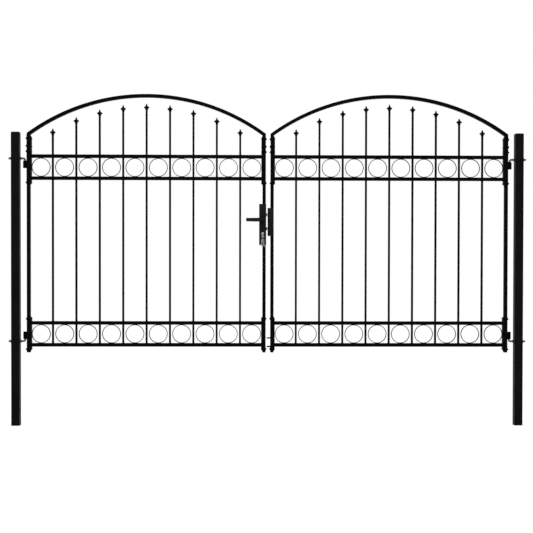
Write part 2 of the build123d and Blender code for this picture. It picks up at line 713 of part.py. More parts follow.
def save_lock():
    """The lock and its furniture on the left leaf."""
    save("left_meeting_stile", on_left(lock_stile()))
    save("lock_box", on_left(lock_box()))
    save("lock_case", on_left(lock_case()))
    save("front_backplate", on_left(backplate()))
    save("rear_backplate", on_left(to_back(backplate())))
    save("lock_cylinder", on_left(lock_cylinder()))
    save("latch_bolt", on_left(latch_bolt()))
    save("dead_bolt", on_left(dead_bolt()))
    save("lever_spindle", on_left(spindle()))
    save("front_lever", on_left(lever()))
    save("rear_lever", on_left(to_back(lever())))
    save("key_in_lock", on_left(key_in_lock()))
    save("key_ring", on_left(key_ring()))
    save("hanging_keys", *[on_left(key) for key in hanging_keys()])


def save_right_fittings():
    """Meeting stile, keep and drop-rod guides of the right leaf."""
    save("right_meeting_stile", on_right(far_stile(stile())))
    save("keep", on_right(keep()))
    save("drop_rod_guides", *[on_right(rod_guide(height)) for height in GUIDE_HEIGHTS])


os.makedirs("parts", exist_ok=True)
save_posts()
save_leaf("left", on_left)
save_leaf("right", on_right)
save_lock()
save_right_fittings()
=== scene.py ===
import math
import random

import bmesh
import bpy
from mathutils import Matrix, Vector


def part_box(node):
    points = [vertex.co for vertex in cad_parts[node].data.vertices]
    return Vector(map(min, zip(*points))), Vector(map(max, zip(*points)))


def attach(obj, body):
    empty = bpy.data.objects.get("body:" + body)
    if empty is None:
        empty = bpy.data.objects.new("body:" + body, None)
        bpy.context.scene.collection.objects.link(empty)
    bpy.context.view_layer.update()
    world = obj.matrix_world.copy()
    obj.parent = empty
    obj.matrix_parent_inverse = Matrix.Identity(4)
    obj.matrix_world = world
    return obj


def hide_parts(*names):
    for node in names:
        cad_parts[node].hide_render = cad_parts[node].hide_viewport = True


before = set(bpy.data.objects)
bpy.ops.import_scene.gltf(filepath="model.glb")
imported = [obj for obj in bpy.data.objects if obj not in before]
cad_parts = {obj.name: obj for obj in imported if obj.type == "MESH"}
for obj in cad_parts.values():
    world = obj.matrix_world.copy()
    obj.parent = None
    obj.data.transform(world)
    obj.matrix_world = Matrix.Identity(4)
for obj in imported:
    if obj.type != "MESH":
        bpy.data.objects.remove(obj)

bl_info = {
    "name": "Fence Gate Finisher",
    "version": (1, 0, 0),
    "blender": (4, 5, 0),
    "location": "View3D > Sidebar > Gate",
    "description": "Finishes, welds, fasteners and keys of a double-leaf fence gate",
    "category": "Object",
}

MM = 0.001
X, Y, Z = range(3)
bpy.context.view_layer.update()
SIDES = ("left", "right")
LEAF = {"left": "left_leaf", "right": "right_leaf"}
RAIL_NODES = ("upper_rails", "lower_rails")
RING_NODES = ("upper_rings", "lower_rings")
PICKET_COUNT = 9


def node_range(node, axis):
    """Lowest and highest value of a CAD node along an axis, in metres."""
    low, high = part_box(node)
    return low[axis], high[axis]


def node_size(node, axis):
    """Length of a CAD node along an axis, in metres."""
    low, high = node_range(node, axis)
    return high - low


def middle(node, axis):
    """Middle of a CAD node along an axis, in metres."""
    low, high = node_range(node, axis)
    return (low + high) / 2


POST_SIDE = node_size("left_post", X)
FRONT_Y = node_range("left_hinge_stile", Y)[0]
TUBE_WIDE = node_size("left_hinge_stile", X)
PICKET_SIDE = node_size("left_pickets", Y)
PLATE_Y = node_range("front_backplate", Y)[0]
SPINDLE_X = middle("lever_spindle", X)
SPINDLE_Z = middle("lever_spindle", Z)
CYLINDER_Y = node_range("lock_cylinder", Y)[0]
CYLINDER_RADIUS = node_size("lock_cylinder", X) / 2
CYLINDER_Z = node_range("lock_cylinder", Z)[1] - CYLINDER_RADIUS
PIN_RADIUS = node_size("left_hinge_hooks", Y) / 2

# Where the lamps aim, in metres
GATE_MIDDLE = Vector((1.5, 0, 1.0))

# Sizes of the solids that a node's box doesn't give
BARREL_HIGH = 44 * MM
GUIDE_THICK = 7 * MM
RING_WALL = 4 * MM
CAP_HIGH = 8 * MM
LEVER_THICK = 12 * MM
KEY_THICK = 2.2 * MM
BLADE_LONG = 28 * MM
BOW_RADIUS = 11 * MM
BOW_HOLE_IN = 5.5 * MM
KEY_RING_RADIUS = 16 * MM
KEY_RING_TURN = math.radians(50)


def linear(hex_colour):
    """An sRGB hex colour as linear red, green, blue and alpha."""
    parts = [int(hex_colour[i:i + 2], 16) / 255 for i in (1, 3, 5)]
    return (*(v / 12.92 if v <= 0.04045 else ((v + 0.055) / 1.055) ** 2.4 for v in parts), 1.0)


# Settings that a user would change

def colour(name, description, hex_colour):
    """A colour property whose default is an sRGB hex value."""
    return bpy.props.FloatVectorProperty(
        name=name, description=description, subtype="COLOR", size=4, min=0, max=1,
        default=linear(hex_colour),
    )


def length(name, description, metres):
    """A length property in metres."""
    return bpy.props.FloatProperty(
        name=name, description=description, unit="LENGTH", min=0, default=metres, precision=4
    )


def angle(name, description, degrees):
    """An angle property whose default is given in degrees."""
    return bpy.props.FloatProperty(
        name=name, description=description, unit="ROTATION", default=math.radians(degrees)
    )


class GateColours(bpy.types.PropertyGroup):
    """Colours of the gate's finishes."""

    post_coat: colour("Post coat", "Polyester powder coat of the posts", "#0a0a0a")
    post_coat_light: colour("Post coat, thin", "The same coat where it is thinner", "#111111")
    leaf_coat: colour("Leaf coat", "Two coats of powder on the leaves", "#030303")
    leaf_coat_light: colour("Leaf coat, thin", "The same coat where it is thinner", "#060606")
    casting_coat: colour("Casting coat", "Powder coat over sand-cast iron", "#050505")
    lock_coat: colour("Lock coat", "Satin coat of the lock furniture", "#0f100d")
    zinc: colour("Zinc", "Electroplated zinc of hooks and nuts", "#5c5f61")
    nickel: colour("Nickel", "Nickel plate of cylinder and keys", "#a09e97")
    steel: colour("Bright steel", "Ground steel of latch and key ring", "#6a6b69")
    oxide: colour("Black oxide", "Blackened steel of bolt and screws", "#1a1a1c")


class GateSizes(bpy.types.PropertyGroup):
    """Sizes of the welds, fasteners and keys."""

    bead: length("Weld bead", "Radius of a fillet bead", 2.2 * MM)
    tack: length("Tack", "Radius of a ring's tack weld", 1.5 * MM)
    ripple: length("Ripple pitch", "Distance between a bead's ripples", 2.4 * MM)
    thread_pitch: length("Thread pitch", "Pitch of the hooks' thread", 1.75 * MM)
    thread_height: length("Thread height", "How far the crests stand out", 0.5 * MM)
    screw_radius: length("Screw head", "Radius of a backplate screw's head", 4.5 * MM)
    tube_corner: length("Tube corner", "Rolled corner radius of the tubes", 1.5 * MM)
    cast_edge: length("Cast edge", "How far the castings' edges are rounded", 1.2 * MM)
    plate_edge: length("Plate edge", "Eased edge of the lock furniture", 0.8 * MM)
    plug_radius: length("Plug", "Radius of the cylinder's plug", 6.6 * MM)
    rose_radius: length("Rose", "Radius of the ring at a lever's neck", 12.5 * MM)


class StageSettings(bpy.types.PropertyGroup):
    """Camera, lamps and floor."""

    across: length("Camera across", "From the left post's middle", 1.415)
    distance: length("Camera distance", "From the gate's plane", 6.5)
    height: length("Camera height", "Above the posts' feet", 1.056)
    lens: bpy.props.FloatProperty(
        name="Lens", description="Focal length on a 36 mm sensor", unit="CAMERA", min=1,
        default=72.33,
    )
    turn: angle("Camera turn", "Turned to the right", 0.89)
    dip: angle("Camera dip", "Tipped down", 0.81)
    roll: angle("Camera roll", "Rolled to the left", 0.1)
    floor_colour: colour("Floor", "Pale floor", "#f4f4f4")
    floor_glow: bpy.props.FloatProperty(
        name="Floor glow", description="Light the floor adds where it is seen", min=0, default=0.5
    )
    lamp_power: bpy.props.FloatProperty(
        name="Lamp power", description="Power of the main lamp", unit="POWER", min=0, default=75
    )


# Materials

WHITE = linear("#ffffff")

# Second shades of the metals, where they are dull, worn, scratched or oiled
DULL_ZINC = linear("#424548")
WORN_NICKEL = linear("#8c8a83")
SCRATCHED_STEEL = linear("#555654")
OILED_OXIDE = linear("#26262a")

# How strongly each coat mirrors; plain plastic has 0.5
POST_SHEEN = 0.028
LEAF_SHEEN = 0.02
CASTING_SHEEN = 0.025
LOCK_SHEEN = 0.06

FINISH_NAMES = {
    "post_coat": "powder_coated_posts",
    "frame_coat": "powder_coated_leaves",
    "casting_coat": "powder_coated_casting",
    "lock_coat": "satin_lacquered_alloy",
    "hinge_zinc": "electroplated_zinc",
    "nickel_plate": "nickel_plated_brass",
    "bright_steel": "ground_steel",
    "dark_steel": "black_oxide_steel",
}


def add(tree, kind, settings=None, **inputs):
    """Adds a node; an input that is a socket is linked, and any other is set."""
    node = tree.nodes.new(kind)
    for key, value in (settings or {}).items():
        setattr(node, key, value)
    for key, value in inputs.items():
        place = int(key[1:]) if key[1:].isdigit() else key.replace("_", " ")
        if isinstance(value, bpy.types.NodeSocket):
            tree.links.new(value, node.inputs[place])
        else:
            node.inputs[place].default_value = value
    return node


def new_material(name):
    """Makes an empty material, and gives its node tree and output."""
    material = bpy.data.materials.new(name)
    material.use_nodes = True
    tree = material.node_tree
    tree.nodes.clear()
    return tree, add(tree, "ShaderNodeOutputMaterial")


def pattern(tree, size, detail=2.0, roughness=0.5, stretch=(1, 1, 1)):
    """Noise over the object's own coordinates, its features about size metres wide."""
    place = add(tree, "ShaderNodeTexCoord").outputs["Object"]
    scaled = add(tree, "ShaderNodeMapping", Vector=place, Scale=stretch).outputs["Vector"]
    noise = add(
        tree, "ShaderNodeTexNoise",
        Vector=scaled, Scale=1 / size, Detail=detail, Roughness=roughness,
    )
    return noise.outputs["Fac"]


def spread(tree, value, low, high):
    """Stretches the middle of a noise value over low to high."""
    return add(
        tree, "ShaderNodeMapRange", {"clamp": True},
        Value=value, From_Min=0.35, From_Max=0.65, To_Min=low, To_Max=high,
    ).outputs["Result"]


def blend_colours(tree, value, first, second):
    """Goes from one colour to another with a noise value."""
    factor = spread(tree, value, 0.0, 1.0)
    mixer = add(tree, "ShaderNodeMix", {"data_type": "RGBA"}, i0=factor, i6=first, i7=second)
    return mixer.outputs[2]


def relief(tree, value, height, strength):
    """Turns a noise value into a small relief, height in metres."""
    return add(
        tree, "ShaderNodeBump", Height=value, Distance=height, Strength=strength
    ).outputs["Normal"]


def surface(tree, output, base, rough, normal, sheen=0.5, metallic=0.0):
    """The shader of a finish, with what is even all over set on its own sockets."""
    shader = add(
        tree, "ShaderNodeBsdfPrincipled", Base_Color=base, Roughness=rough, Normal=normal,
        Specular_IOR_Level=sheen, Metallic=metallic,
    )
    tree.links.new(shader.outputs[0], output.inputs[0])


def powder_coated_steel(name, thick_coat, thin_coat, sheen):
    """Polyester powder baked on steel tube: deep black, a soft sheen and a faint orange peel."""
    tree, output = new_material(name)
    # Coat thickness drifts over a hand's width, so the black is never quite even.
    base = blend_colours(tree, pattern(tree, 120 * MM), thick_coat, thin_coat)
    rough = spread(tree, pattern(tree, 30 * MM), 0.42, 0.5)
    # Orange peel has waves about 2.5 mm long; drawn at 5 mm so that it shows.
    normal = relief(tree, pattern(tree, 5 * MM, detail=1.0), 0.12 * MM, 0.35)
    surface(tree, output, base, rough, normal, sheen)


def powder_coated_casting(name, casting_coat, leaf_coat, sheen):
    """Powder coat over sand-cast iron: the sand's grain shows as a dull pebbled skin."""
    tree, output = new_material(name)
    base = blend_colours(tree, pattern(tree, 20 * MM), casting_coat, leaf_coat)
    rough = spread(tree, pattern(tree, 8 * MM), 0.5, 0.62)
    # Moulding sand is 0.3 mm; its lumps are drawn 2.5 mm wide so that they show.
    normal = relief(tree, pattern(tree, 2.5 * MM, detail=3.0, roughness=0.6), 0.3 * MM, 0.5)
    surface(tree, output, base, rough, normal, sheen)


def satin_lacquered_alloy(name, lock_coat, thin_coat, sheen):
    """Lock furniture in pressed alloy, sprayed satin: a greyer, finer skin than the frame's."""
    tree, output = new_material(name)
    base = blend_colours(tree, pattern(tree, 50 * MM), lock_coat, thin_coat)
    rough = spread(tree, pattern(tree, 15 * MM), 0.36, 0.44)
    # Spray mist dries as 0.2 mm dots, drawn 1.5 mm wide so that they show.
    normal = relief(tree, pattern(tree, 1.5 * MM), 0.06 * MM, 0.4)
    surface(tree, output, base, rough, normal, sheen)


def metal(name, shades, mottle, rough_range, grain, depth, stretch=(1, 1, 1)):
    """A bare or plated metal: mottled colour, uneven gloss and a fine relief."""
    tree, output = new_material(name)
    base = blend_colours(tree, pattern(tree, mottle), *shades)
    rough = spread(tree, pattern(tree, mottle / 3), *rough_range)
    normal = relief(tree, pattern(tree, grain, stretch=stretch), depth, 0.5)
    surface(tree, output, base, rough, normal, metallic=1.0)


def build_finishes(colours):
    """Makes the finish of every slot."""
    names = FINISH_NAMES
    powder_coated_steel(names["post_coat"], colours.post_coat, colours.post_coat_light, POST_SHEEN)
    powder_coated_steel(names["frame_coat"], colours.leaf_coat, colours.leaf_coat_light, LEAF_SHEEN)
    powder_coated_casting(
        names["casting_coat"], colours.casting_coat, colours.leaf_coat, CASTING_SHEEN
    )
    satin_lacquered_alloy(
        names["lock_coat"], colours.lock_coat, colours.post_coat_light, LOCK_SHEEN
    )
    # Electroplated zinc, passivated: a cool grey with dull patches about 6 mm wide.
    metal(
        names["hinge_zinc"], (colours.zinc, DULL_ZINC),
        6 * MM, (0.35, 0.5), 1.2 * MM, 0.05 * MM,
    )
    # Nickel over brass, polished and then handled: bright and slightly warm.
    metal(
        names["nickel_plate"], (colours.nickel, WORN_NICKEL),
        10 * MM, (0.2, 0.32), 1.5 * MM, 0.02 * MM,
    )
    # Surface-ground steel: scratches run along the bolt, 0.1 mm apart, drawn at 0.6 mm.
    metal(
        names["bright_steel"], (colours.steel, SCRATCHED_STEEL),
        12 * MM, (0.28, 0.4), 0.6 * MM, 0.03 * MM, stretch=(0.06, 1, 1),
    )
    # Hot black oxide on steel, oiled: a soft black that still shines like metal.
    metal(
        names["dark_steel"], (colours.oxide, OILED_OXIDE),
        10 * MM, (0.4, 0.5), 1 * MM, 0.03 * MM,
    )


def finish_of(slot_name):
    """The finish made for a slot."""
    return bpy.data.materials[FINISH_NAMES[slot_name]]


# Mesh building

def in_mm(pairs):
    """Pairs typed in millimetres, as metres."""
    return [(first * MM, second * MM) for first, second in pairs]


def skin(bm, rings, closed=False):
    """Joins rings of points into a skin and closes its ends, or joins the last to the first."""
    rows = [[bm.verts.new(point) for point in ring] for ring in rings]
    for low, high in zip(rows, rows[1:] + (rows[:1] if closed else [])):
        for i in range(len(low)):
            j = (i + 1) % len(low)
            bm.faces.new((low[i], low[j], high[j], high[i]))
    if not closed:
        bm.faces.new(list(reversed(rows[0])))
        bm.faces.new(rows[-1])


def angles_round(steps):
    """Even steps round a full turn, in radians."""
    return [2 * math.pi * step / steps for step in range(steps)]


def axes_along(direction):
    """Two unit vectors across a direction."""
    along = Vector(direction).normalized()
    helper = Vector((0, 0, 1)) if abs(along.z) < 0.9 else Vector((1, 0, 0))
    first = along.cross(helper).normalized()
    return first, along.cross(first).normalized()


def turned(bm, origin, direction, profile, segments=48):
    """A turned form; profile is (radius, height), and a radius may be a function of the angle."""
    along = Vector(direction).normalized()
    u, v = axes_along(along)
    rings = []
    for radius, height in profile:
        foot = Vector(origin) + along * height
        rings.append([
            foot + (u * math.cos(a) + v * math.sin(a)) * (radius(a) if callable(radius) else radius)
            for a in angles_round(segments)
        ])
    skin(bm, rings)


def turned_ring(bm, origin, direction, profile, segments):
    """A turned ring: a closed profile of (radius, height) taken round the axis."""
    along = Vector(direction).normalized()
    u, v = axes_along(along)
    rings = []
    for a in angles_round(segments):
        out = u * math.cos(a) + v * math.sin(a)
        rings.append([Vector(origin) + out * radius + along * height for radius, height in profile])
    skin(bm, rings, closed=True)


def hexagon(across):
    """Radius of a hexagon by angle, from its width across flats."""
    def radius(at):
        return across / 2 / math.cos((at % (math.pi / 3)) - math.pi / 6)
    return radius


def bead(bm, points, radius, ripple, closed=False, sides=8):
    """A weld bead along a path: a tube whose radius swells at each ripple."""
    steps_in_ripple, swelling, unevenness, end_share = 2.5, 0.14, 0.04, 0.55
    path = [Vector(point) for point in points]
    if closed:
        path.append(path[0])
    samples = []
    travelled = 0.0
    for start, end in zip(path, path[1:]):
        span = (end - start).length
        steps = max(2, round(span / (ripple / steps_in_ripple)))
        for step in range(steps):
            share = step / steps
            samples.append((start.lerp(end, share), end - start, travelled + span * share))
        travelled += span
    if not closed:
        samples.append((path[-1], path[-1] - path[-2], travelled))
    rings = []
    for number, (place, direction, distance) in enumerate(samples):
        before = samples[number - 1][1] if closed or number else direction
        u, v = axes_along(direction + before)
        swell = 1 + swelling * math.sin(2 * math.pi * distance / ripple)
        swell += random.uniform(-unevenness, unevenness)
        if not closed and number in (0, len(samples) - 1):
            swell *= end_share
        rings.append([
            place + (u * math.cos(a) + v * math.sin(a)) * radius * swell
            for a in angles_round(sides)
        ])
    skin(bm, rings, closed)


def make_piece(name, bm, slot_name, body, smooth_angle=40):
    """Turns a mesh into a named piece with its finish, riding on a body."""
    bmesh.ops.recalc_face_normals(bm, faces=bm.faces)
    mesh = bpy.data.meshes.new(name)
    bm.to_mesh(mesh)
    bm.free()
    mesh.shade_smooth()
    mesh.set_sharp_from_angle(angle=math.radians(smooth_angle))
    mesh.materials.append(finish_of(slot_name))
    made = bpy.data.objects.new(name, mesh)
    bpy.context.scene.collection.objects.link(made)
    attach(made, body)
    return made


def softened(node, width, body, slot_name, chosen=None):
    """Replaces a CAD node with its own shape, its outer edges rounded as in the real piece."""
    sharp = math.radians(25)
    bm = bmesh.new()
    bm.from_mesh(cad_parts[node].data)
    bmesh.ops.remove_doubles(bm, verts=bm.verts, dist=0.01 * MM)
    bmesh.ops.dissolve_limit(
        bm, angle_limit=math.radians(1), verts=bm.verts, edges=bm.edges, delimit={"NORMAL"}
    )
    edges = [
        edge for edge in bm.edges
        if len(edge.link_faces) == 2 and edge.calc_face_angle_signed() > sharp
        and (chosen is None or chosen(edge))
    ]
    bmesh.ops.bevel(
        bm, geom=edges, offset=width, segments=3, profile=0.5, affect="EDGES", clamp_overlap=True
    )
    made = make_piece(f"{node}_shape", bm, slot_name, body, smooth_angle=30)
    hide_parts(node)


def lies_along(axis):
    """Chooses edges that run along one axis."""
    def chosen(edge):
        run = edge.verts[1].co - edge.verts[0].co
        return run.length > 0 and abs(run[axis]) > 0.999 * run.length
    return chosen


def flat_plate(name, outlines, thickness, bevel):
    """A plate cut to its outlines, the first outer and the others holes, with eased edges."""
    curve = bpy.data.curves.new(name, "CURVE")
    curve.dimensions = "2D"
    curve.fill_mode = "BOTH"
    curve.extrude = thickness / 2 - bevel
    curve.bevel_depth = bevel
    curve.offset = -bevel
    for outline in outlines:
        spline = curve.splines.new("POLY")
        spline.points.add(len(outline) - 1)
        for point, (x, y) in zip(spline.points, outline):
            point.co = (x, y, 0, 1)
        spline.use_cyclic_u = True
    holder = bpy.data.objects.new(name, curve)
    mesh = bpy.data.meshes.new_from_object(holder)
    bm = bmesh.new()
    bm.from_mesh(mesh)
    bpy.data.objects.remove(holder)
    bpy.data.curves.remove(curve)
    bpy.data.meshes.remove(mesh)
    bmesh.ops.remove_doubles(bm, verts=bm.verts, dist=0.001 * MM)
    return bm


def circle(x, y, radius, steps):
    """Points round a circle."""
    return [(x + radius * math.cos(a), y + radius * math.sin(a)) for a in angles_round(steps)]


def rounded_rectangle(half_x, half_y, corner, steps=6):
    """Points round a rectangle with round corners."""
    corner = min(corner, half_x, half_y)
    points = []
    for quarter in range(4):
        cx = (half_x - corner) * (1 if quarter in (0, 3) else -1)
        cy = (half_y - corner) * (1 if quarter in (0, 1) else -1)
        for step in range(steps + 1):
            at = math.pi / 2 * (quarter + step / steps)
            points.append((cx + corner * math.cos(at), cy + corner * math.sin(at)))
    return points


# Places read from the frame

def ring_places(node):
    """Outer radius, half depth, middle height and middles in X of a row of rings."""
    low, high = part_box(node)
    radius = (high.z - low.z) / 2
    pitch = (high.x - low.x - 2 * radius) / PICKET_COUNT
    places = [low.x + radius + pitch * number for number in range(PICKET_COUNT + 1)]
    return radius, (high.y - low.y) / 2, (high.z + low.z) / 2, places


def shank_heights(side):
    """Heights of the two hooks' shanks, half a nut's corners inside the nuts' ends."""
    low, high = node_range(f"{side}_hook_nuts", Z)
    half = node_size(f"{side}_hook_nuts", Y) / math.sqrt(3)
    return low + half, high - half


def nut_seats(side):
    """Left and right face of a post, and the thickness of the nuts on them."""
    left_face, right_face = node_range(f"{side}_post", X)
    return left_face, right_face, left_face - node_range(f"{side}_hook_nuts", X)[0]


def picket_places(side):
    """Middles in X of a leaf's pickets."""
    low, high = node_range(f"{side}_pickets", X)
    first = low + PICKET_SIDE / 2
    pitch = (high - PICKET_SIDE / 2 - first) / (PICKET_COUNT - 1)
    return [first + pitch * number for number in range(PICKET_COUNT)]


def rail_levels(side):
    """Middle heights of a leaf's four rails."""
    half = TUBE_WIDE / 2
    levels = []
    for part in RAIL_NODES:
        low, high = node_range(f"{side}_{part}", Z)
        levels += [high - half, low + half]
    return levels


# Operators

class GATE_OT_finishes(bpy.types.Operator):
    """Gives every CAD node the finish of its slot"""

    bl_idname = "gate.finishes"
    bl_label = "Finish the frame"

    def execute(self, context):
        build_finishes(context.scene.gate_colours)
        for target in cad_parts.values():
            slots = target.data.materials
            for number, packed in enumerate(slots):
                slots[number] = finish_of(packed.name)
        return {"FINISHED"}


class GATE_OT_welds(bpy.types.Operator):
    """Lays the weld beads of both leaves"""

    bl_idname = "gate.welds"
    bl_label = "Lay the welds"

    def execute(self, context):
        sizes = context.scene.gate_sizes
        random.seed(11)
        for side in SIDES:
            self.pickets(side, sizes)
            self.rings(side, sizes)
            self.barrels(side, sizes)
            self.mitres(side, sizes)
        self.guides(sizes)
        return {"FINISHED"}

    def pickets(self, side, sizes):
        """A fine bead round each picket where it comes out of the top of a rail."""
        bm = bmesh.new()
        half = PICKET_SIDE / 2
        corners = ((-half, -half), (half, -half), (half, half), (-half, half))
        fine = sizes.bead * 0.7
        for x in picket_places(side):
            for level in rail_levels(side):
                loop = [(x + px, py, level + TUBE_WIDE / 2) for px, py in corners]
                bead(bm, loop, fine, sizes.ripple, closed=True, sides=6)
        make_piece(f"{side}_picket_welds", bm, "frame_coat", LEAF[side])

    def rings(self, side, sizes):
        """Tacks on both sides of each ring's two seats."""
        bm = bmesh.new()
        half_long = 7 * MM
        sunk = 0.3 * MM
        for row in RING_NODES:
            radius, depth, centre_z, places = ring_places(f"{side}_{row}")
            for x in places:
                for way in (-1, 1):
                    z = centre_z + way * (radius - sunk)
                    for y in (-depth, depth):
                        ends = [(x - half_long, y, z), (x + half_long, y, z)]
                        bead(bm, ends, sizes.tack, sizes.ripple, sides=6)
        make_piece(f"{side}_ring_tacks", bm, "frame_coat", LEAF[side])

    def barrels(self, side, sizes):
        """Two upright beads between each barrel and its stile."""
        bm = bmesh.new()
        bare_end = 2 * MM
        face_x = node_range(f"{side}_hinge_stile", X)[SIDES.index(side)]
        low, high = node_range(f"{side}_hinge_barrels", Z)
        for foot in (low, high - BARREL_HIGH):
            for y in (-PIN_RADIUS, PIN_RADIUS):
                ends = [(face_x, y, foot + bare_end), (face_x, y, foot + BARREL_HIGH - bare_end)]
                bead(bm, ends, sizes.bead, sizes.ripple)
        make_piece(f"{side}_barrel_welds", bm, "frame_coat", LEAF[side])

    def mitres(self, side, sizes):
        """Nearly flush seams where the arch meets its stiles."""
        bm = bmesh.new()
        ground_flush = 0.8 * MM
        arch_low, arch_high = node_range(f"{side}_arch", X)
        inner_z = node_range(f"{side}_arch", Z)[0]
        outer_z = node_range(f"{side}_hinge_stile", Z)[1]
        for outer_x, inward in ((arch_low, 1), (arch_high, -1)):
            for y in (FRONT_Y, -FRONT_Y):
                seam = [(outer_x, y, outer_z), (outer_x + inward * TUBE_WIDE, y, inner_z)]
                bead(bm, seam, ground_flush, sizes.ripple, sides=6)
        make_piece(f"{side}_mitre_welds", bm, "frame_coat", LEAF[side])

    def guides(self, sizes):
        """Beads above and below each drop-rod guide."""
        bm = bmesh.new()
        half_long = 8 * MM
        stile = node_range("right_meeting_stile", X)[0]
        low, high = node_range("drop_rod_guides", Z)
        for z in (low, low + GUIDE_THICK, high - GUIDE_THICK, high):
            bead(bm, [(stile, -half_long, z), (stile, half_long, z)], sizes.tack, sizes.ripple)
        make_piece("guide_welds", bm, "frame_coat", "right_leaf")


class GATE_OT_tubes(bpy.types.Operator):
    """Rounds the rolled corners of the leaves' tubes and bars"""

    bl_idname = "gate.tubes"
    bl_label = "Round the tubes"

    def execute(self, context):
        corner = context.scene.gate_sizes.tube_corner
        for side in SIDES:
            body = LEAF[side]
            for node in (f"{side}_hinge_stile", f"{side}_meeting_stile"):
                softened(node, corner, body, "frame_coat", lies_along(Z))
            for part in RAIL_NODES:
                softened(f"{side}_{part}", corner, body, "frame_coat", lies_along(X))
            softened(f"{side}_pickets", corner / 2, body, "frame_coat", lies_along(Z))
            softened(f"{side}_arch", corner, body, "frame_coat", self.along_arch(f"{side}_arch"))
            softened(f"{side}_hinge_barrels", corner / 2, body, "frame_coat")
            for row in RING_NODES:
                self.rings(f"{side}_{row}", body)
        softened("drop_rod_guides", corner / 2, "right_leaf", "frame_coat")
        return {"FINISHED"}

    def along_arch(self, node):
        """Chooses the arch's long edges, and not those of its mitred ends."""
        low, high = node_range(node, X)
        mitre = 12 * MM

        def chosen(edge):
            place = (edge.verts[0].co + edge.verts[1].co) / 2
            run = edge.verts[1].co - edge.verts[0].co
            return low + mitre < place.x < high - mitre and abs(run.y) < 0.1 * run.length
        return chosen

    def rings(self, node, body):
        """Round rings of flat bar in place of the faceted ones."""
        radius, depth, centre_z, places = ring_places(node)
        ease = 0.6 * MM
        inner = radius - RING_WALL
        section = [
            (radius, ease - depth), (radius, depth - ease),
            (radius - ease, depth), (inner + ease, depth),
            (inner, depth - ease), (inner, ease - depth),
            (inner + ease, -depth), (radius - ease, -depth),
        ]
        bm = bmesh.new()
        for x in places:
            turned_ring(bm, (x, 0, centre_z), (0, 1, 0), section, 72)
        made = make_piece(f"{node}_shape", bm, "frame_coat", body, smooth_angle=50)
        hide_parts(node)


class GATE_OT_castings(bpy.types.Operator):
    """Softens the castings on the stiles and the spearheads"""

    bl_idname = "gate.castings"
    bl_label = "Soften the castings"

    def execute(self, context):
        ease = context.scene.gate_sizes.cast_edge
        for side in SIDES:
            for part in ("hinge_stile_trim", "meeting_stile_trim", "spearheads"):
                softened(f"{side}_{part}", ease, LEAF[side], "casting_coat")
        return {"FINISHED"}


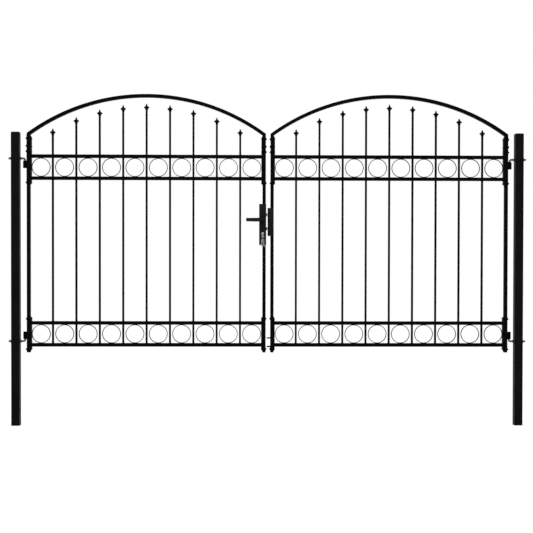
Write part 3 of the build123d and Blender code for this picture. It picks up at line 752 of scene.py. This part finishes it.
class GATE_OT_posts(bpy.types.Operator):
    """Puts rounded caps on the posts and dresses the hinge hooks"""

    bl_idname = "gate.posts"
    bl_label = "Dress the posts"

    def execute(self, context):
        for side in SIDES:
            self.cap(side)
            self.nuts(side)
            self.threads(side, context.scene.gate_sizes)
        return {"FINISHED"}

    def cap(self, side):
        """Pressed cap: a fine seam at the tube, a round edge and a faintly domed top."""
        node = f"{side}_post_cap"
        x = middle(node, X)
        foot = node_range(node, Z)[1] - CAP_HIGH
        seam = 0.7 * MM
        edge = 6 * MM
        dome = 0.6 * MM
        corner = 3 * MM
        levels = [(seam, 0.0), (0.0, seam), (0.0, CAP_HIGH - edge)]
        for a in (math.radians(15 * step) for step in range(1, 7)):
            levels.append((edge * (1 - math.cos(a)), CAP_HIGH - edge + (edge - dome) * math.sin(a)))
        levels += [(12 * MM, CAP_HIGH - 0.3 * MM), (20 * MM, CAP_HIGH - 0.05 * MM)]
        rings = []
        for inset, rise in levels:
            half = POST_SIDE / 2 - inset
            outline = rounded_rectangle(half, half, max(corner, min(half, corner + inset * 0.6)))
            rings.append([Vector((x + px, py, foot + rise)) for px, py in outline])
        bm = bmesh.new()
        skin(bm, rings)
        made = make_piece(f"{node}_shape", bm, "post_coat", "posts", smooth_angle=50)
        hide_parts(node)

    def nuts(self, side):
        """Hexagon nuts with chamfered corners."""
        node = f"{side}_hook_nuts"
        left_face, right_face, thick = nut_seats(side)
        across = node_size(node, Y)
        flat = hexagon(across)
        chamfer, slope = across / 2 * 0.93, 1.9
        profile = []
        for share in (0.0, 0.08, 0.16, 0.24, 0.76, 0.84, 0.92, 1.0):
            cone = chamfer + min(share, 1 - share) * thick * slope
            profile.append((lambda at, cone=cone: min(flat(at), cone), share * thick))
        bm = bmesh.new()
        for z in shank_heights(side):
            for seat_x in (left_face - thick, right_face):
                turned(bm, (seat_x, 0, z), (1, 0, 0), profile, segments=72)
        made = make_piece(f"{node}_shape", bm, "hinge_zinc", "posts", smooth_angle=25)
        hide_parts(node)

    def threads(self, side, sizes):
        """A screw thread on each shank, outside the nuts."""
        left_face, right_face, thick = nut_seats(side)
        hook_low, hook_high = node_range(f"{side}_hinge_hooks", X)
        plain_tip = 1.5 * MM
        inner_run = 9 * MM
        left_end, right_start = left_face - thick, right_face + thick
        if side == "left":
            runs = ((hook_low + plain_tip, left_end), (right_start, right_start + inner_run))
        else:
            runs = ((right_start, hook_high - plain_tip), (left_end - inner_run, left_end))
        bm = bmesh.new()
        for z in shank_heights(side):
            for start, end in runs:
                skin(bm, self.thread(Vector((start, 0, z)), end - start, sizes))
        make_piece(f"{side}_hook_threads", bm, "hinge_zinc", "posts", smooth_angle=20)

    def thread(self, start, run, sizes):
        """Rings of one thread along X: a ridge with a sunk foot, fading at both ends."""
        steps_in_turn, fading_steps = 24, 6
        half_foot, half_crest = 0.42, 0.063
        pitch = sizes.thread_pitch
        base = PIN_RADIUS - 0.3 * MM
        foot = Vector((pitch * half_foot, 0, 0))
        flat = Vector((pitch * half_crest, 0, 0))
        steps = int(run / pitch * steps_in_turn)
        rings = []
        for step in range(steps + 1):
            at = 2 * math.pi * step / steps_in_turn
            out = Vector((0, math.cos(at), math.sin(at)))
            centre = start + Vector((pitch * step / steps_in_turn, 0, 0))
            fade = min(1.0, step / fading_steps, (steps - step) / fading_steps)
            crest = PIN_RADIUS + sizes.thread_height * fade
            rings.append([
                centre + out * base - foot, centre + out * crest - flat,
                centre + out * crest + flat, centre + out * base + foot,
            ])
        return rings


class GATE_OT_lock(bpy.types.Operator):
    """Shapes the levers, plates, keep and cylinder, and fits roses and screws"""

    bl_idname = "gate.lock"
    bl_label = "Dress the lock"

    def execute(self, context):
        sizes = context.scene.gate_sizes
        edge = sizes.plate_edge
        for node, width, body, slot_name in (
            ("front_backplate", edge, "left_leaf", "lock_coat"),
            ("rear_backplate", edge, "left_leaf", "lock_coat"),
            ("lock_box", edge, "left_leaf", "frame_coat"),
            ("keep", edge, "right_leaf", "lock_coat"),
            ("lock_cylinder", edge / 2, "left_leaf", "nickel_plate"),
            ("dead_bolt", edge / 2, "bolt", "dark_steel"),
            ("latch_bolt", edge / 2, "latch", "bright_steel"),
        ):
            softened(node, width, body, slot_name)
        # The way is -1 for the front, which faces down Y, and 1 for the back.
        for face, way in (("front", -1), ("rear", 1)):
            self.lever(f"{face}_lever", way)
            self.rose(face, way, sizes)
            self.plate_screws(face, way, sizes)
            self.plug(face, way, sizes)
        self.keyway_shade()
        return {"FINISHED"}

    def bar_stations(self, root_x, tip_x):
        """Places along a lever's bar, and how far its section is drawn in there."""
        root_edge, tip_edge = 3.2 * MM, 1.6 * MM
        taper = 1.4 * MM
        rounding = ((0.0, root_edge), (0.25, root_edge * 0.3), (0.6, root_edge * 0.08), (1.0, 0.0))
        span = root_x - tip_x
        stations = [(root_x - root_edge * share, inset) for share, inset in rounding]
        stations += [(root_x - span * share, taper * share) for share in (0.25, 0.5, 0.75)]
        for share, inset in reversed(rounding):
            stations.append((tip_x + tip_edge * share, taper + inset * 0.5))
        return stations

    def lever(self, node, way):
        """Tapered bar with round edges on a turned neck, with a grub screw under the neck."""
        low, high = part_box(node)
        bar_y = (low.y if way < 0 else high.y) - way * LEVER_THICK / 2
        half_thick, half_high, corner = LEVER_THICK / 2, (high.z - low.z) / 2, 3.4 * MM
        bm = bmesh.new()
        rings = []
        for x, inset in self.bar_stations(high.x, low.x):
            outline = rounded_rectangle(half_thick - inset, half_high - inset, corner)
            rings.append([Vector((x, bar_y + py, SPINDLE_Z + pz)) for py, pz in outline])
        skin(bm, rings)
        plate = PLATE_Y * -way
        neck = in_mm([(8, -1), (8, 0), (8, 24), (8.4, 30), (9.4, 36), (9.6, 41)])
        turned(bm, (SPINDLE_X, plate, SPINDLE_Z), (0, way, 0), neck)
        made = make_piece(f"{node}_shape", bm, "lock_coat", "lever_set", smooth_angle=35)
        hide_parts(node)

        bm = bmesh.new()
        socket = hexagon(2.5 * MM)
        screw = in_mm([(2.4, 0), (2.4, 0.9), (2, 1.2)]) + [(socket, 1.2 * MM), (socket, 0.3 * MM)]
        from_plate, below = 12 * MM, 7.2 * MM
        place = (SPINDLE_X, plate + way * from_plate, SPINDLE_Z - below)
        turned(bm, place, (0, 0, -1), screw, segments=24)
        make_piece(f"{node}_grub_screw", bm, "dark_steel", "lever_set", smooth_angle=30)

    def rose(self, face, way, sizes):
        """The ring that the lever's neck turns in."""
        rose, bore = sizes.rose_radius, 8.3 * MM
        section = [
            (bore, 0.0), (rose, 0.0), (rose, 1.6 * MM), (rose - 0.5 * MM, 2.5 * MM),
            (rose - 1.6 * MM, 3.0 * MM), (bore + 0.6 * MM, 3.2 * MM), (bore, 2.8 * MM),
        ]
        bm = bmesh.new()
        turned_ring(bm, (SPINDLE_X, PLATE_Y * -way, SPINDLE_Z), (0, way, 0), section, 64)
        make_piece(f"{face}_rose", bm, "lock_coat", "left_leaf", smooth_angle=35)

    def plate_screws(self, face, way, sizes):
        """Low round heads with a hexagon socket, near both ends of a plate."""
        radius, socket, from_end = sizes.screw_radius, hexagon(4 * MM), 13 * MM
        head = [
            (radius, -0.1 * MM), (radius, 0.25 * MM), (radius * 0.8, 0.75 * MM),
            (radius * 0.62, 0.9 * MM), (socket, 0.9 * MM), (socket, 0.05 * MM),
        ]
        low, high = node_range(f"{face}_backplate", Z)
        bm = bmesh.new()
        for z in (low + from_end, high - from_end):
            turned(bm, (SPINDLE_X, PLATE_Y * -way, z), (0, way, 0), head)
        make_piece(f"{face}_plate_screws", bm, "dark_steel", "left_leaf", smooth_angle=30)

    def plug(self, face, way, sizes):
        """The cylinder's plug, with a fine groove near its rim."""
        radius = sizes.plug_radius
        rim = [
            (radius, -0.1 * MM), (radius, 0.35 * MM), (radius - 0.4 * MM, 0.7 * MM),
            (radius - 1.6 * MM, 0.7 * MM), (radius - 1.8 * MM, 0.45 * MM),
            (radius - 2.2 * MM, 0.45 * MM), (radius - 2.4 * MM, 0.7 * MM), (2.6 * MM, 0.7 * MM),
        ]
        bm = bmesh.new()
        turned(bm, (SPINDLE_X, CYLINDER_Y * -way, CYLINDER_Z), (0, way, 0), rim)
        make_piece(f"{face}_cylinder_plug", bm, "nickel_plate", "left_leaf", smooth_angle=30)

    def keyway_shade(self):
        """The rear plug's empty key slot as a thin dark patch with a lip on the plug's face:
        painted shade where the slot's hollow would be.
        """
        half_wide, half_high, corner = 1.3 * MM, 4.2 * MM, 0.9 * MM
        plug_y = -CYLINDER_Y + 0.7 * MM
        bm = bmesh.new()
        rings = []
        for grow, rise in in_mm([(0, 0.02), (0, 0.06), (-0.25, 0.03)]):
            outline = rounded_rectangle(half_wide + grow, half_high + grow, corner)
            y = plug_y + rise
            rings.append([Vector((SPINDLE_X + px, y, CYLINDER_Z + pz)) for px, pz in outline])
        skin(bm, rings)
        # The black oxide finish makes this patch a dark sheet: painted shade for the slot's hollow.
        make_piece("rear_keyway_shade", bm, "dark_steel", "left_leaf", smooth_angle=30)


class GATE_OT_keys(bpy.types.Operator):
    """Cuts the keys with their teeth and coils the split ring"""

    bl_idname = "gate.keys"
    bl_label = "Hang the keys"

    def execute(self, context):
        low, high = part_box("key_ring")
        centre = (low + high) / 2
        self.in_lock()
        self.split_ring(centre)
        self.hanging(centre)
        return {"FINISHED"}

    def outlines(self, cuts):
        """Key outline along +Y from its tip, cuts so many mm deep, and the bow's hole."""
        half_blade, shoulder = 4 * MM, 5.2 * MM
        first_cut, cut_pitch = 5 * MM, 3.6 * MM
        neck_foot, neck_root, neck_top = (BLADE_LONG + rise * MM for rise in (-2.0, -1.6, 1.0))
        bow_start, bow_sweep, bow_steps = math.radians(-62), math.radians(304), 40
        outer = in_mm([(-1.2, 0), (0.8, 0), (3.2, 2.6)])
        for number, cut in enumerate(cuts):
            start = first_cut + cut_pitch * number
            depth = half_blade - cut * MM
            outer += [
                (half_blade, start), (depth, start + 1.0 * MM),
                (depth, start + 1.9 * MM), (half_blade, start + 2.9 * MM),
            ]
        outer += [(half_blade, neck_foot), (shoulder, neck_root), (shoulder, neck_top)]
        for step in range(bow_steps + 1):
            at = bow_start + bow_sweep * step / bow_steps
            outer.append((BOW_RADIUS * math.cos(at), BLADE_LONG + BOW_RADIUS * (1 + math.sin(at))))
        outer += [(-shoulder, neck_top), (-shoulder, neck_root), (-half_blade, neck_foot)]
        outer.append((-half_blade, 2 * MM))
        hole = circle(0, BLADE_LONG + 2 * BOW_RADIUS - BOW_HOLE_IN, 3 * MM, 28)
        return [outer, hole]

    def cut_key(self, name, place, cuts):
        """One key, flat in its own X and Y, put in place."""
        bm = flat_plate(name, self.outlines(cuts), KEY_THICK, 0.3 * MM)
        # A low rib along each face of the blade, as the warding leaves it.
        rib_x, rib_high, sunk = -1.6 * MM, 0.12 * MM, 0.1 * MM
        for way in (-1, 1):
            rings = []
            for y, foot in in_mm([(3.5, 0.2), (4.5, 0.55), (26, 0.55), (27, 0.2)]):
                top = foot * 0.6
                section = ((-foot, -sunk), (foot, -sunk), (top, rib_high), (-top, rib_high))
                rings.append([
                    Vector((rib_x + px, y, way * (KEY_THICK / 2 + pz))) for px, pz in section
                ])
            skin(bm, rings)
        bm.transform(place)
        return make_piece(name, bm, "nickel_plate", "left_leaf", smooth_angle=30)

    def in_lock(self):
        """The key pushed home."""
        tip = Vector((SPINDLE_X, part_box("key_in_lock")[1].y, CYLINDER_Z))
        seat = Matrix(((0, 0, 1, tip.x), (0, -1, 0, tip.y), (1, 0, 0, tip.z), (0, 0, 0, 1)))
        cuts = (0.8, 1.6, 1.1, 2.0, 0.6)
        made = self.cut_key("turned_key", seat, cuts)
        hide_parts("key_in_lock")

    def hanging(self, centre):
        """Two spare keys on the ring's lowest stretch."""
        upright = Matrix(((0, 0, 1, 0), (1, 0, 0, 0), (0, 1, 0, 0), (0, 0, 0, 1)))
        to_hole = Matrix.Translation((0, -(BLADE_LONG + 2 * BOW_RADIUS - BOW_HOLE_IN), 0))
        facing = Matrix.Rotation(math.radians(30), 4, "Z")
        slack = 1.5 * MM
        cuts = (1.2, 0.7, 1.9, 1.0, 1.5)
        for name, way in (("spare_key_left", -1), ("spare_key_right", 1)):
            splay = math.radians(10) * way
            along = KEY_RING_RADIUS * math.sin(splay)
            drop = KEY_RING_RADIUS * math.cos(splay) + slack
            at = centre + Vector((
                along * math.cos(KEY_RING_TURN), along * math.sin(KEY_RING_TURN), -drop
            ))
            place = Matrix.Translation(at) @ Matrix.Rotation(-splay, 4, "Y") @ facing
            made = self.cut_key(name, place @ upright @ to_hole, cuts)
        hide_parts("hanging_keys")

    def split_ring(self, centre):
        """Two close turns of flattened wire."""
        across = Vector((math.cos(KEY_RING_TURN), math.sin(KEY_RING_TURN), 0))
        axis = Vector((-math.sin(KEY_RING_TURN), math.cos(KEY_RING_TURN), 0))
        up = Vector((0, 0, 1))
        half_wide, half_thick = 0.75 * MM, 0.36 * MM
        between_turns = 0.8 * MM
        steps, start = 144, math.radians(40)
        section = (
            (1, -0.6), (1, 0.6), (0.6, 1), (-0.6, 1), (-1, 0.6), (-1, -0.6), (-0.6, -1), (0.6, -1)
        )
        rings = []
        for step in range(steps + 1):
            at = 4 * math.pi * step / steps + start
            # The wire steps over to its second turn between 0.4 and 0.6 of its length.
            crossed = max(0.0, min(1.0, (step / steps - 0.4) / 0.2))
            out = across * math.cos(at) + up * math.sin(at)
            core = centre + out * KEY_RING_RADIUS + axis * between_turns * (crossed - 0.5)
            end = 0.5 if step in (0, steps) else 1.0
            rings.append([
                core + (out * px * half_wide + axis * py * half_thick) * end for px, py in section
            ])
        bm = bmesh.new()
        skin(bm, rings)
        made = make_piece("split_ring", bm, "bright_steel", "left_leaf", smooth_angle=50)
        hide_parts("key_ring")


class GATE_OT_stage(bpy.types.Operator):
    """Sets up the pale floor, the soft lamps and the camera"""

    bl_idname = "gate.stage"
    bl_label = "Set the stage"

    def execute(self, context):
        stage = context.scene.gate_stage
        self.view(context.scene, stage)
        self.floor(context.scene, stage)
        self.lamps(context.scene, stage)
        self.surroundings(context.scene)
        return {"FINISHED"}

    def view(self, scene, stage):
        """Camera in front of the gate, a little left of its middle."""
        data = bpy.data.cameras.new("front_camera")
        data.sensor_width = 36
        data.lens = stage.lens
        camera = bpy.data.objects.new("front_camera", data)
        camera.location = (stage.across, -stage.distance, stage.height)
        level = Matrix.Rotation(math.radians(90) - stage.dip, 4, "X")
        aim = Matrix.Rotation(-stage.turn, 4, "Z") @ level
        camera.rotation_euler = (aim @ Matrix.Rotation(stage.roll, 4, "Z")).to_euler()
        scene.collection.objects.link(camera)
        scene.camera = camera
        scene.view_settings.view_transform = "Standard"

    def floor(self, scene, stage):
        """Large pale floor that shows white and keeps the gate's shadow."""
        tree, output = new_material("pale_floor")
        # Lit by the surroundings alone, the floor just reaches white with its glow, so that
        # what the posts keep from it still shows as a shadow.
        strength = add(
            tree, "ShaderNodeMath", {"operation": "MULTIPLY"},
            i0=self.seen_directly(tree), i1=stage.floor_glow,
        )
        plain = add(tree, "ShaderNodeBsdfDiffuse", Color=stage.floor_colour)
        glow = add(tree, "ShaderNodeEmission", Color=WHITE, Strength=strength.outputs[0])
        shown = add(tree, "ShaderNodeAddShader", i0=plain.outputs[0], i1=glow.outputs[0])
        tree.links.new(shown.outputs[0], output.inputs[0])
        half_wide, below_feet = 20, 0.5 * MM
        bm = bmesh.new()
        bmesh.ops.create_grid(bm, x_segments=8, y_segments=8, size=half_wide)
        mesh = bpy.data.meshes.new("floor")
        bm.to_mesh(mesh)
        bm.free()
        mesh.materials.append(bpy.data.materials["pale_floor"])
        made = bpy.data.objects.new("floor", mesh)
        made.location = (GATE_MIDDLE.x, 0, -below_feet)
        scene.collection.objects.link(made)

    def seen_directly(self, tree):
        """1 for rays from the camera, a reflection or a clear piece."""
        path = add(tree, "ShaderNodeLightPath").outputs
        either = {"operation": "MAXIMUM"}
        pair = add(
            tree, "ShaderNodeMath", either, i0=path["Is Camera Ray"], i1=path["Is Glossy Ray"]
        )
        return add(
            tree, "ShaderNodeMath", either, i0=pair.outputs[0], i1=path["Is Transmission Ray"]
        ).outputs[0]

    def lamps(self, scene, stage):
        """A broad lamp above the camera and a weaker one on either side."""
        side_power = stage.lamp_power * 0.4
        for name, place, size, power in (
            ("main_lamp", (1.2, -5.4, 3.6), 3.0, stage.lamp_power),
            ("left_lamp", (-2.4, -3.2, 3.2), 2.4, side_power),
            ("right_lamp", (5.4, -3.2, 3.2), 2.4, side_power),
        ):
            data = bpy.data.lights.new(name, "AREA")
            data.shape = "SQUARE"
            data.size = size
            data.energy = power
            lamp = bpy.data.objects.new(name, data)
            lamp.location = place
            lamp.visible_camera = False
            aim = GATE_MIDDLE - lamp.location
            lamp.rotation_euler = aim.to_track_quat("-Z", "Y").to_euler()
            scene.collection.objects.link(lamp)

    def surroundings(self, scene):
        """Even grey light all round, shown as white."""
        world = bpy.data.worlds.new("pale_surroundings")
        world.use_nodes = True
        tree = world.node_tree
        tree.nodes.clear()
        given, seen = 0.55, 1.0
        light = add(tree, "ShaderNodeBackground", Color=WHITE, Strength=given)
        shown = add(tree, "ShaderNodeBackground", Color=WHITE, Strength=seen)
        mixer = add(
            tree, "ShaderNodeMixShader",
            i0=self.seen_directly(tree), i1=light.outputs[0], i2=shown.outputs[0],
        )
        add(tree, "ShaderNodeOutputWorld", i0=mixer.outputs[0])
        scene.world = world


class GATE_PT_panel(bpy.types.Panel):
    """Lists the gate's steps and settings"""

    bl_label = "Fence Gate"
    bl_idname = "GATE_PT_panel"
    bl_space_type = "VIEW_3D"
    bl_region_type = "UI"
    bl_category = "Gate"

    def draw(self, context):
        for step in STEPS:
            self.layout.operator(step.bl_idname)
        scene = context.scene
        for group in (scene.gate_colours, scene.gate_sizes, scene.gate_stage):
            box = self.layout.box()
            for key in type(group).__annotations__:
                box.prop(group, key)


GROUPS = (GateColours, GateSizes, StageSettings)
STEPS = (
    GATE_OT_finishes,
    GATE_OT_tubes,
    GATE_OT_castings,
    GATE_OT_welds,
    GATE_OT_posts,
    GATE_OT_lock,
    GATE_OT_keys,
    GATE_OT_stage,
)


def register():
    for item in GROUPS + STEPS + (GATE_PT_panel,):
        bpy.utils.register_class(item)
    bpy.types.Scene.gate_colours = bpy.props.PointerProperty(type=GateColours)
    bpy.types.Scene.gate_sizes = bpy.props.PointerProperty(type=GateSizes)
    bpy.types.Scene.gate_stage = bpy.props.PointerProperty(type=StageSettings)


def unregister():
    del bpy.types.Scene.gate_stage
    del bpy.types.Scene.gate_sizes
    del bpy.types.Scene.gate_colours
    for item in reversed(GROUPS + STEPS + (GATE_PT_panel,)):
        bpy.utils.unregister_class(item)


def main():
    """Runs the steps in order."""
    register()
    for step in STEPS:
        group, name = step.bl_idname.split(".")
        getattr(getattr(bpy.ops, group), name)()


if __name__ == "__main__":
    main()
